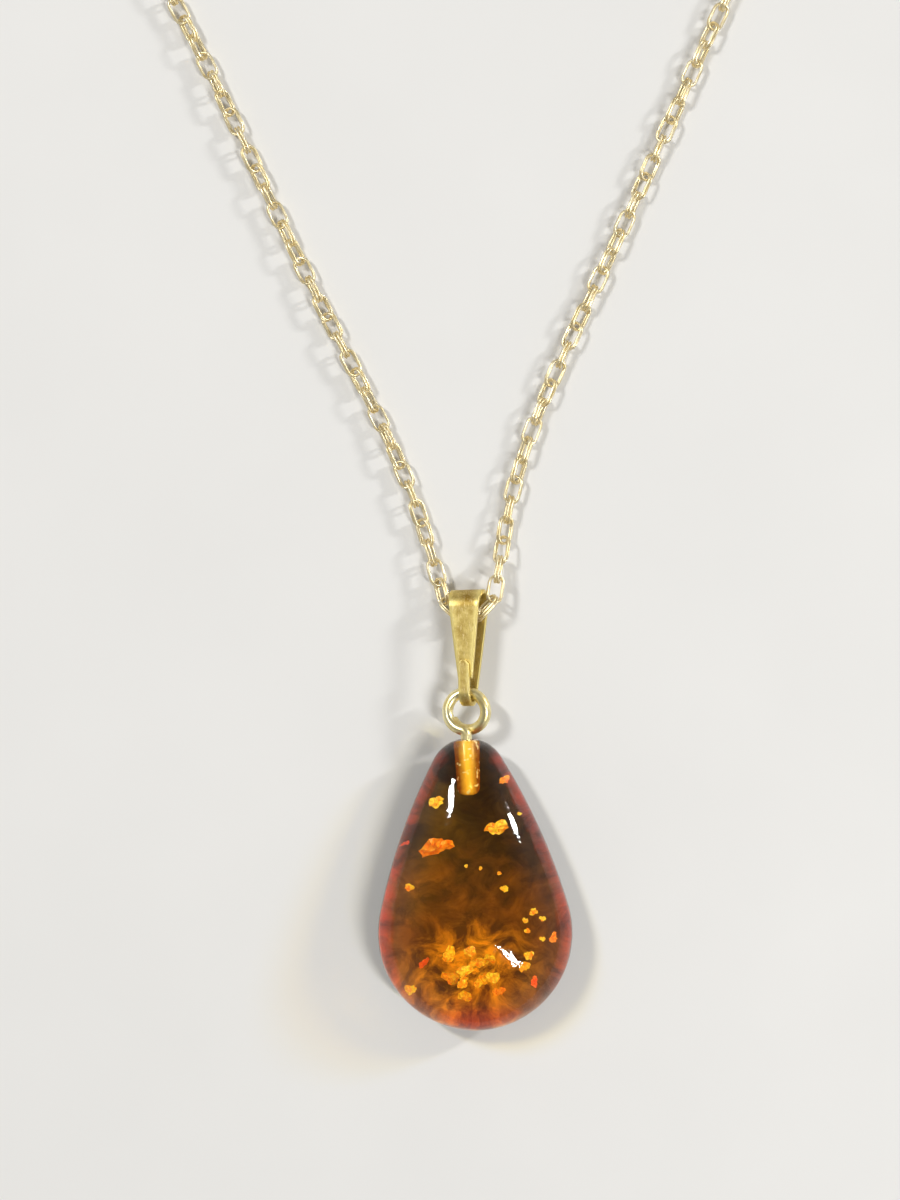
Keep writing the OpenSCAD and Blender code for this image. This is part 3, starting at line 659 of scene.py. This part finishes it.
tongue_run += [tongue_straight + tongue_half * math.sin(a)
               for a in np.linspace(0, tip_angle, tip_steps)[1:]]
for s in tongue_run:
    past = max(0, s - tongue_straight)
    v = -wrap_radius * math.sin(lap_angle) + s * math.cos(lap_angle)
    n = wrap_radius * math.cos(lap_angle) + s * math.sin(lap_angle)
    strap_line.append((v, n, lap_angle - 2 * math.pi, math.sqrt(tongue_half ** 2 - past ** 2)))

# Points of the strap's section: along each rounded corner, and between the corners of a face
corner_points, face_points = 4, 7
wear_falloff = 4
corner_steps = np.linspace(0, math.pi / 2, corner_points)
across_steps = np.linspace(-1, 1, face_points + 2)[1:-1]


def strap_corner(x, z, start):
    """Points of a rounded corner of the strap's section."""
    return [(x + strap_edge * math.cos(start + c), z + strap_edge * math.sin(start + c))
            for c in corner_steps]


strap_rings = []
for v, n, a, half in strap_line:
    section = []
    flat, rise = half - strap_edge, strap_thickness / 2 - strap_edge
    for side, start in ((1, 0), (-1, math.pi)):
        section += strap_corner(side * flat, side * rise, start)
        section += [(-side * u * flat, side * strap_thickness / 2) for u in across_steps]
        section += strap_corner(-side * flat, side * rise, start + math.pi / 2)
    normal = np.array([0, -math.sin(a), math.cos(a)])
    strap_rings.append(np.array([hinge + bail_frame @ (np.array([u, v, n]) + t * normal)
                                 for u, t in section]))
bail = skin("bail_strap", strap_rings)
corner_wear = [1.0] * corner_points
side_wear = corner_wear + [abs(u) ** wear_falloff for u in across_steps] + corner_wear
wear_map = bail.data.attributes.new("edge_wear", "FLOAT", "POINT")
wear_map.data.foreach_set("value", 2 * side_wear * len(strap_line))

# Worn antique brass: dark yellow brown patina, rubbed to bright brass on the edges and along fine scratches.
# The scratches are about 0.1 mm apart and run mostly along the strap.
old_brass, tree, shader, place = new_material("worn_antique_brass", {"Metallic": 1})
worn = add(tree, "ShaderNodeAttribute", {"attribute_name": "edge_wear"}, output="Fac")
stains = add(tree, "ShaderNodeTexNoise", {"Scale": 1 / (1.4 * mm), "Detail": 7, "Roughness": 0.68},
             {"Vector": place})
strap_way = add(tree, "ShaderNodeMapping", {"Scale": (5, 0.7, 5)}, {"Vector": place})
scratches = add(tree, "ShaderNodeTexNoise", {"Scale": 1 / (0.5 * mm), "Detail": 6, "Roughness": 0.7},
                {"Vector": strap_way})
rubbed = add(tree, "ShaderNodeMath", {"operation": "MULTIPLY_ADD", 1: 0.45}, {0: worn, 2: stains})
rubbed_share = add(tree, "ShaderNodeMapRange", {"From Min": 0.36, "From Max": 0.78}, {"Value": rubbed})
brass_tone = add(tree, "ShaderNodeMix", {"data_type": "RGBA", 6: linear("a4853c"), 7: linear("f0dc8c")},
                 {0: rubbed_share})
scratch_share = add(tree, "ShaderNodeMapRange", {"From Min": 0.54, "From Max": 0.74}, {"Value": scratches})
scratched = add(tree, "ShaderNodeMix", {"data_type": "RGBA", 7: linear("fff0b8")},
                {0: scratch_share, 6: brass_tone})
brass_gloss = add(tree, "ShaderNodeMapRange", {"To Min": 0.56, "To Max": 0.4}, {"Value": rubbed_share})
scratch_relief = add(tree, "ShaderNodeBump", {"Strength": 0.35, "Distance": 0.04 * mm},
                     {"Height": scratches})
connect(shader, {"Base Color": scratched, "Roughness": brass_gloss, "Normal": scratch_relief})
bail.data.materials.append(old_brass)
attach(bail, "bail_body")
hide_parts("bail")

# Chain: oval links of thin gilt brass wire, laid in pairs and twisted so that the pairs look like rope.
# Each pair passes through the next one. The first pair lies across the fold of the bail.
link_wire = 0.22
link_length = 2.5
link_width = 1.4
pair_gap = 0.04
pair_spacing = link_wire + pair_gap
link_reach = 3.6 * link_wire
pitch = link_length - link_reach
twist = 66
pairs_left = 131
pairs_right = 130
seat_climb = math.radians(13)
seat_roll = 35
seat_twist = 80
seat_pairs = 2
seat_aside = 0.1
seat_below = 0.7
seat = hinge + bail_frame @ np.array([seat_aside, bail_length - seat_below, 0])
chain_height = math.hypot(link_width / 2, (pair_spacing + link_wire) / 2) + table_gap / 3
# Angle that each strand climbs from the X axis, by the number of the pair. The front pairs keep their
# numbers, and the rest of a table is spread over the other pairs of the strand.
front_pairs = 33
table_pairs = 131
lay_left = np.array(((1, 45), (2, 77), (5, 76), (8, 70), (10.5, 67), (13, 65.5), (18, 66), (24, 68),
                     (30, 66.5), (33, 64.5), (50, 57), (70, 69), (90, 94), (110, 124), (131, 152)))
lay_right = np.array(((1, 45), (2, 78), (5, 78), (8, 71), (10.5, 66), (13, 63.5), (18, 62), (24, 63.5),
                      (30, 63), (33, 61.5), (50, 56), (70, 70), (90, 97), (110, 128), (131, 156)))
# Shares of the way down from the bail to the table, for the first pairs of each strand
fall_left = (0.35, 0.3, 0.2, 0.1, 0.05)
fall_right = (-0.05, 0.2, 0.4, 0.33, 0.12)


def roll(k):
    """Turn of pair k about the strand, evened so that the last pair of a strand lies flat."""
    side = 1 if k > 0 else -1
    free = (pairs_right if k > 0 else pairs_left) - seat_pairs
    start = side * seat_roll + seat_twist * seat_pairs
    even_twist = (180 * round((start + twist * free) / 180) - start) / free
    return math.radians(seat_roll + side * (seat_twist * min(abs(k), seat_pairs)
                                            + even_twist * max(abs(k) - seat_pairs, 0)))


def strand(side, count):
    """Middles and turns of the pairs of one strand, and the point and heading of its open end."""
    lay, share = (lay_right, fall_right) if side > 0 else (lay_left, fall_left)
    point = seat + side * pitch / 2 * np.array([math.cos(seat_climb), 0, math.sin(seat_climb)])
    down = point[2] - chain_height
    middles, turns = [], []
    spread = (count - front_pairs) / (table_pairs - front_pairs)
    for i in range(1, count + 1):
        number = i if i <= front_pairs else front_pairs + (i - front_pairs) / spread
        climb = math.radians(np.interp(number, lay[:, 0], lay[:, 1]))
        fall = math.asin(down * share[i - 1] / pitch) if i <= len(share) else 0
        step = pitch * np.array([side * math.cos(climb) * math.cos(fall), math.sin(climb) * math.cos(fall),
                                 -math.sin(fall)])
        middles.append(point + step / 2)
        turns.append((roll(side * i), side * fall, side * climb))
        point = point + step
    return middles, turns, point, climb if side > 0 else math.pi - climb


left_middles, left_turns, left_end, left_heading = strand(-1, pairs_left)
right_middles, right_turns, right_end, right_heading = strand(1, pairs_right)

# Worn gilt chain wire: pale champagne gold, brassier where the wires rub, in spots about 0.5 mm wide.
chain_gilt = rubbed_gilt(
    "worn_gilt_chain_wire", 0.5, (4, 0.6), (0.36, 0.68), ("fff3d0", "f0dca4"), (0.26, 0.5))[0]

# Link pairs on points: one link is a rounded rectangle of wire, and two lie side by side at each point
link_tree = bpy.data.node_groups.new("link_pairs", "GeometryNodeTree")
link_tree.is_modifier = True
link_tree.interface.new_socket("Points", in_out="INPUT", socket_type="NodeSocketGeometry")
link_sizes = {"Link length": link_length * mm, "Link width": link_width * mm, "Wire": link_wire * mm,
              "Pair spacing": pair_spacing * mm}
link_sockets = {name: link_tree.interface.new_socket(name, in_out="INPUT", socket_type="NodeSocketFloat")
                for name in link_sizes}
link_tree.interface.new_socket("Links", in_out="OUTPUT", socket_type="NodeSocketGeometry")
given = link_tree.nodes.new("NodeGroupInput").outputs
middle_length, middle_width = (
    add(link_tree, "ShaderNodeMath", {"operation": "SUBTRACT"}, {0: given[name], 1: given["Wire"]})
    for name in ("Link length", "Link width"))
# The rounds of an end stop just short of each other, so that no two points of the line coincide
end_share = 0.495
end_radius = add(link_tree, "ShaderNodeMath", {"operation": "MULTIPLY", 1: end_share}, {0: middle_width})
wire_radius = add(link_tree, "ShaderNodeMath", {"operation": "MULTIPLY", 1: 0.5}, {0: given["Wire"]})
box_line = add(link_tree, "GeometryNodeCurvePrimitiveQuadrilateral", {},
               {"Width": middle_length, "Height": middle_width})
oval_line = add(link_tree, "GeometryNodeFilletCurve", {"mode": "POLY", "Count": 3},
                {"Curve": box_line, "Radius": end_radius})
wire_profile = add(link_tree, "GeometryNodeCurvePrimitiveCircle", {"Resolution": 5}, {"Radius": wire_radius})
one_link = add(link_tree, "GeometryNodeCurveToMesh", {}, {"Curve": oval_line, "Profile Curve": wire_profile})
two_links = add(link_tree, "GeometryNodeJoinGeometry")
for side in (-0.5, 0.5):
    offset = add(link_tree, "ShaderNodeMath", {"operation": "MULTIPLY", 1: side}, {0: given["Pair spacing"]})
    shift = add(link_tree, "ShaderNodeCombineXYZ", {}, {"Z": offset})
    moved = add(link_tree, "GeometryNodeTransform", {}, {"Geometry": one_link, "Translation": shift})
    connect(two_links.node, {0: moved})
pair_turn = add(link_tree, "GeometryNodeInputNamedAttribute",
                {"data_type": "FLOAT_VECTOR", "Name": "pair_turn"}, output="Attribute")
pair_rotation = add(link_tree, "FunctionNodeEulerToRotation", {}, {"Euler": pair_turn})
placed = add(link_tree, "GeometryNodeInstanceOnPoints", {},
             {"Points": given["Points"], "Instance": two_links, "Rotation": pair_rotation})
real = add(link_tree, "GeometryNodeRealizeInstances", {}, {0: placed})
smooth = add(link_tree, "GeometryNodeSetShadeSmooth", {}, {"Geometry": real})
finished = add(link_tree, "GeometryNodeSetMaterial", {"Material": chain_gilt}, {"Geometry": smooth})
add(link_tree, "NodeGroupOutput", {}, {"Links": finished})

# Number of the first pair of each stretch, and one past the last pair of the strand
left_starts = (6, 32, 62, 96, pairs_left + 1)
right_starts = (4, 35, 65, 99, pairs_right + 1)
middle_left, middle_right = left_starts[0] - 1, right_starts[0] - 1
stretches = {"middle": (left_middles[:middle_left] + [seat] + right_middles[:middle_right],
                        left_turns[:middle_left] + [(roll(0), -seat_climb, 0)] + right_turns[:middle_right])}
for number in range(len(left_starts) - 1):
    for side, starts, middles, turns in (("left", left_starts, left_middles, left_turns),
                                         ("right", right_starts, right_middles, right_turns)):
        own = slice(starts[number] - 1, starts[number + 1] - 1)
        stretches[f"{side}_{number + 1}"] = (middles[own], turns[own])
for body, (middles, turns) in stretches.items():
    node_name = f"chain_{body}"
    points = bpy.data.meshes.new(node_name + "_points")
    points.from_pydata((np.array(middles) * mm).tolist(), [], [])
    turn_map = points.attributes.new("pair_turn", "FLOAT_VECTOR", "POINT")
    turn_map.data.foreach_set("vector", np.array(turns, float).ravel())
    pattern = put(node_name + "_points", points)
    modifier = pattern.modifiers.new("link_pairs", "NODES")
    modifier.node_group = link_tree
    for name, value in link_sizes.items():
        modifier[link_sockets[name].identifier] = value
    evaluated = pattern.evaluated_get(bpy.context.evaluated_depsgraph_get())
    link_mesh = bpy.data.meshes.new_from_object(evaluated)
    bpy.data.objects.remove(pattern)
    stretch_piece = put(node_name + "_links", link_mesh)
    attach(stretch_piece, body)
    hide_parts(node_name)

# Jump rings: two rings of round gilt wire, one through the last pair of each strand.
# Each was cut from a wound coil, opened, hung in and closed again, and its cut is at the top.
jump_wire = 0.36
jump_diameter = 1.9
jump_radius = (jump_diameter - jump_wire) / 2
jump_height = jump_diameter / 2 + table_gap
jump_cut = math.radians(4)
jump_steps = 60
ring_sides = 16
ring_gap = 0.26
jump_ahead = (link_length - pitch) / 2 - link_wire - ring_gap - jump_wire / 2 + jump_radius
strand_ends = {"clasp": (left_end, left_heading), "tag": (right_end, right_heading)}


def at_end(end, points):
    """Points in the frame at an open end of the chain, whose X axis goes on along the chain."""
    spot, heading = strand_ends[end]
    turn = np.array(Matrix.Rotation(heading, 3, "Z"))
    return np.asarray(points, float) @ turn.T + np.array([spot[0], spot[1], 0])


# Gilt findings: polished brass with a thin gold layer, a little duller in soft patches about 1.5 mm wide.
findings = rubbed_gilt("gilt_brass_findings", 1.5, (5, 0.6), (0, 1), ("ecd59a", "c9a55c"), (0.12, 0.38))[0]

jump_middle = np.array([jump_ahead, 0, jump_height])
jump_rings = []
for a in np.linspace(math.pi / 2 + jump_cut / 2, 2.5 * math.pi - jump_cut / 2, jump_steps):
    outward = np.array([math.cos(a), 0, math.sin(a)])
    jump_rings.append(ring_about(jump_middle + jump_radius * outward, jump_wire / 2, outward, (0, 1, 0),
                                 ring_sides))
for end in strand_ends:
    jump_ring = skin(f"{end}_jump_ring_closed", [at_end(end, points) for points in jump_rings])
    jump_ring.data.materials.append(findings)
    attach(jump_ring, f"{end}_ring")
    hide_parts(f"{end}_jump_ring")

# Clasp: a spring ring of bent brass tube with a gap, and a wire eyelet soldered to its side.
# A slot in the tube lets the knob of the inner bolt slide. Angles along the ring are in degrees.
clasp_radius = 2.3
tube_radius = 0.75
tube_wall = 0.2
tube_edge = 0.03
clasp_height = tube_radius + table_gap
eyelet_radius = 0.8
eyelet_wire = 0.4
eyelet_steps = 56
hang_gap = 0.14
eyelet_ahead = jump_ahead + jump_radius - jump_wire / 2 - hang_gap - eyelet_wire / 2 + eyelet_radius
solder_gap = 0.01
clasp_ahead = eyelet_ahead + eyelet_radius + eyelet_wire / 2 + solder_gap + tube_radius + clasp_radius
mouth_start, mouth_end = 20, 70
bolt_start, bolt_end = 12, 117
knob_angle = 97
bolt_travel = 58
slot_room = 6
slot_half = 0.24


def in_clasp(points):
    """Points in the frame of the clasp, whose angles count from the side away from the chain."""
    return at_end("clasp", np.asarray(points, float) + np.array([clasp_ahead, 0, clasp_height]))


def clasp_point(angle, radius=0.0, around=0.0):
    """Point at an angle of the clasp ring and a place around its tube."""
    reach = clasp_radius + radius * math.cos(around)
    return (reach * math.cos(angle), reach * math.sin(angle), radius * math.sin(around))


eyelet_line = ring_about((eyelet_ahead, 0, clasp_height), eyelet_radius, (1, 0, 0), (0, 1, 0), eyelet_steps)
eyelet_rings = wire_rings(at_end("clasp", eyelet_line), eyelet_wire / 2, ring_sides, closed=True)
eyelet = skin("clasp_eyelet_soldered", eyelet_rings, closed=True)
eyelet.data.materials.append(findings)
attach(eyelet, "clasp")
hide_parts("clasp_eyelet")

tube_middle = tube_radius - tube_wall / 2
tube_steps = 104
tube_sides = 40
slot_sides = 4
slot_turn = math.asin(slot_half / tube_middle)
tube_angles = np.radians(np.linspace(mouth_end, 360 + mouth_start, tube_steps + 1))
side_angles = np.concatenate([np.linspace(slot_turn, 2 * math.pi - slot_turn, tube_sides - slot_sides + 1),
                              np.linspace(-slot_turn, slot_turn, slot_sides + 1)[1:-1]])
slot_from = math.radians(knob_angle - slot_room)
slot_to = math.radians(knob_angle + bolt_travel + slot_room)
tube_mesh = bpy.data.meshes.new("clasp_tube_bent")
shape = bmesh.new()
tube_points = [[shape.verts.new(Vector(p) * mm) for p in
                in_clasp([clasp_point(a, tube_middle, b) for b in side_angles])] for a in tube_angles]
for i in range(tube_steps):
    in_slot = slot_from < (tube_angles[i] + tube_angles[i + 1]) / 2 < slot_to
    here, ahead = tube_points[i], tube_points[i + 1]
    for j in range(tube_sides - slot_sides if in_slot else tube_sides):
        k = (j + 1) % tube_sides
        shape.faces.new((here[j], ahead[j], ahead[k], here[k]))
bmesh.ops.delete(shape, geom=[v for v in shape.verts if not v.link_faces], context="VERTS")
bmesh.ops.recalc_face_normals(shape, faces=shape.faces)
shape.to_mesh(tube_mesh)
shape.free()
tube_mesh.shade_smooth()
tube = put("clasp_tube_bent", tube_mesh)
wall = tube.modifiers.new("wall", "SOLIDIFY")
wall.thickness = tube_wall * mm
wall.offset = 0
wall.use_even_offset = True
edge = tube.modifiers.new("edge", "BEVEL")
edge.width = tube_edge * mm
edge.segments = 2
edge.limit_method = "ANGLE"
tube_mesh.materials.append(findings)
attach(tube, "clasp")
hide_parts("clasp_tube")

# Bolt and knob: a bent brass wire that slides in the tube and closes the gap of the clasp.
# The knob is a turned ball on a post, pressed into the bolt and pushed by a fingernail.
bolt_slack = 0.05
bolt_end_round = 0.1
bolt_steps = 50
bolt_sides = 24
bolt_radius = tube_radius - tube_wall - bolt_slack
bolt_line = [clasp_point(a) for a in np.radians(np.linspace(bolt_start, bolt_end, bolt_steps))]
bolt = skin("clasp_bolt_bent", wire_rings(in_clasp(bolt_line), bolt_radius, bolt_sides,
                                          end_round=bolt_end_round))
bolt.data.materials.append(findings)
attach(bolt, "bolt")
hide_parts("clasp_bolt")

post_radius = 0.2
post_foot = 0.12
post_shoulder = 0.2
post_taper = 0.02
ball_radius = 0.375
ball_steps = 16
ball_start = math.acos(-math.sqrt(1 - (post_radius / ball_radius) ** 2))
ball_end = math.radians(4)
knob_rise = 0.5
knob_reach = tube_radius + knob_rise
# Outline of the knob, as distance from the middle of the tube and radius
knob_profile = [(post_foot, post_radius - post_taper), (post_shoulder, post_radius)]
knob_profile += [(knob_reach + ball_radius * math.cos(a), ball_radius * math.sin(a))
                 for a in np.linspace(ball_start, ball_end, ball_steps)]
knob_turn = math.radians(knob_angle)
knob_out = np.array([math.cos(knob_turn), math.sin(knob_turn), 0])
knob_side = np.array([-math.sin(knob_turn), math.cos(knob_turn), 0])
knob = skin("bolt_knob_turned", [
    in_clasp(ring_about((clasp_radius + reach) * knob_out, radius, knob_side, (0, 0, 1), bolt_sides))
    for reach, radius in knob_profile])
knob.data.materials.append(findings)
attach(knob, "bolt")
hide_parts("bolt_knob")

# Spring: a coil of hard steel wire in the tube, between the tail of the bolt and a stop.
# It was wound on a straight pin and pushed into the tube before the bolt, and the bolt's tail presses it
# together: its turns follow the bolt less and less towards the stop.
spring_wire = 0.12
spring_turns = 12
spring_slack = 0.08
spring_gap = 2
spring_stop = 320
coil_steps = 24
spring_sides = 8
spring_radius = tube_radius - tube_wall - spring_wire / 2 - spring_slack
spring_from, spring_to = math.radians(bolt_end + spring_gap), math.radians(spring_stop)
coil_shares = np.linspace(0, 1, spring_turns * coil_steps + 1)
coil_angles = spring_from + (spring_to - spring_from) * coil_shares
coil_line = np.array([clasp_point(angle, spring_radius, 2 * math.pi * spring_turns * share)
                      for angle, share in zip(coil_angles, coil_shares)])
coil_along = np.gradient(coil_line, axis=0)
coil_along /= np.linalg.norm(coil_along, axis=1)[:, None]
spring_rings = []
for here, along, angle in zip(coil_line, coil_along, coil_angles):
    outward = here - np.array(clasp_point(angle))
    outward -= outward @ along * along
    outward /= np.linalg.norm(outward)
    side = np.cross(along, outward)
    spring_rings.append(in_clasp(ring_about(here, spring_wire / 2, outward, side, spring_sides)))
spring = skin("clasp_spring_wound", spring_rings)

# Hard drawn spring steel: bright grey with a faint straw tint in bands about 0.4 mm wide.
steel, tree, shader, place = new_material("hard_drawn_spring_steel", {"Metallic": 1, "Roughness": 0.3})
bands = add(tree, "ShaderNodeTexNoise", {"Scale": 1 / (0.4 * mm), "Detail": 3}, {"Vector": place})
band_tone = add(tree, "ShaderNodeMix", {"data_type": "RGBA", 6: linear("b9b7b2"), 7: linear("9d968a")},
                {0: bands})
connect(shader, {"Base Color": band_tone})
spring.data.materials.append(steel)
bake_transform(spring)
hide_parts("clasp_spring")

# End tag: a stamped plate of gilt brass with a small hole for its jump ring and a large one for the clasp.
# Its edges were tumbled smooth, and it leans from the ring down to the table.
tag_length = 5.0
tag_half = 1.6
tag_neck = 0.95
tag_slack = 0.25
tag_sag = 0.17
tag_thickness = 0.4
tag_edge = 0.08
tag_ring_hole = 0.6
tag_clasp_hole = 1.0
tag_steps, neck_steps = 40, 32
tag_height = jump_height - tag_sag
tag_tilt = math.asin((tag_height - tag_thickness / 2 - table_gap) / (tag_length + tag_half))
tag_outline = [(tag_length + tag_half * math.cos(a), tag_half * math.sin(a))
               for a in np.linspace(-math.pi / 2, math.pi / 2, tag_steps)]
tag_outline += [(tag_neck * math.cos(a), tag_neck * math.sin(a))
                for a in np.linspace(math.pi / 2, 1.5 * math.pi, neck_steps)]
tag_holes = [[(x + r * math.cos(a), r * math.sin(a)) for a in full_turn(tag_steps)]
             for x, r in ((0, tag_ring_hole), (tag_length, tag_clasp_hole))]
tag_curve = bpy.data.curves.new("tag_outline", "CURVE")
tag_curve.dimensions = "2D"
tag_curve.fill_mode = "BOTH"
tag_curve.extrude = (tag_thickness / 2 - tag_edge) * mm
tag_curve.bevel_depth = tag_edge * mm
tag_curve.bevel_resolution = 2
tag_curve.offset = -tag_edge * mm
for outline in [tag_outline] + tag_holes:
    spline = tag_curve.splines.new("POLY")
    spline.points.add(len(outline) - 1)
    spline.points.foreach_set("co", [c for x, y in outline for c in (x * mm, y * mm, 0, 1)])
    spline.use_cyclic_u = True
tag_pattern = put("tag_outline", tag_curve)
tag_mesh = bpy.data.meshes.new_from_object(tag_pattern.evaluated_get(bpy.context.evaluated_depsgraph_get()))
bpy.data.objects.remove(tag_pattern)
tag_mesh.transform(Matrix.Translation((right_end[0] * mm, right_end[1] * mm, 0))
                   @ Matrix.Rotation(right_heading, 4, "Z")
                   @ Matrix.Translation(((jump_ahead + jump_radius + tag_slack) * mm, 0, tag_height * mm))
                   @ Matrix.Rotation(tag_tilt, 4, "Y"))
face_outward(tag_mesh, merge_reach)
tag_mesh.materials.clear()
tag_mesh.materials.append(findings)
tag = put("end_tag_stamped", tag_mesh)
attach(tag, "tag")
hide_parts("end_tag")

# Scene brought up to date.
bpy.context.view_layer.update()
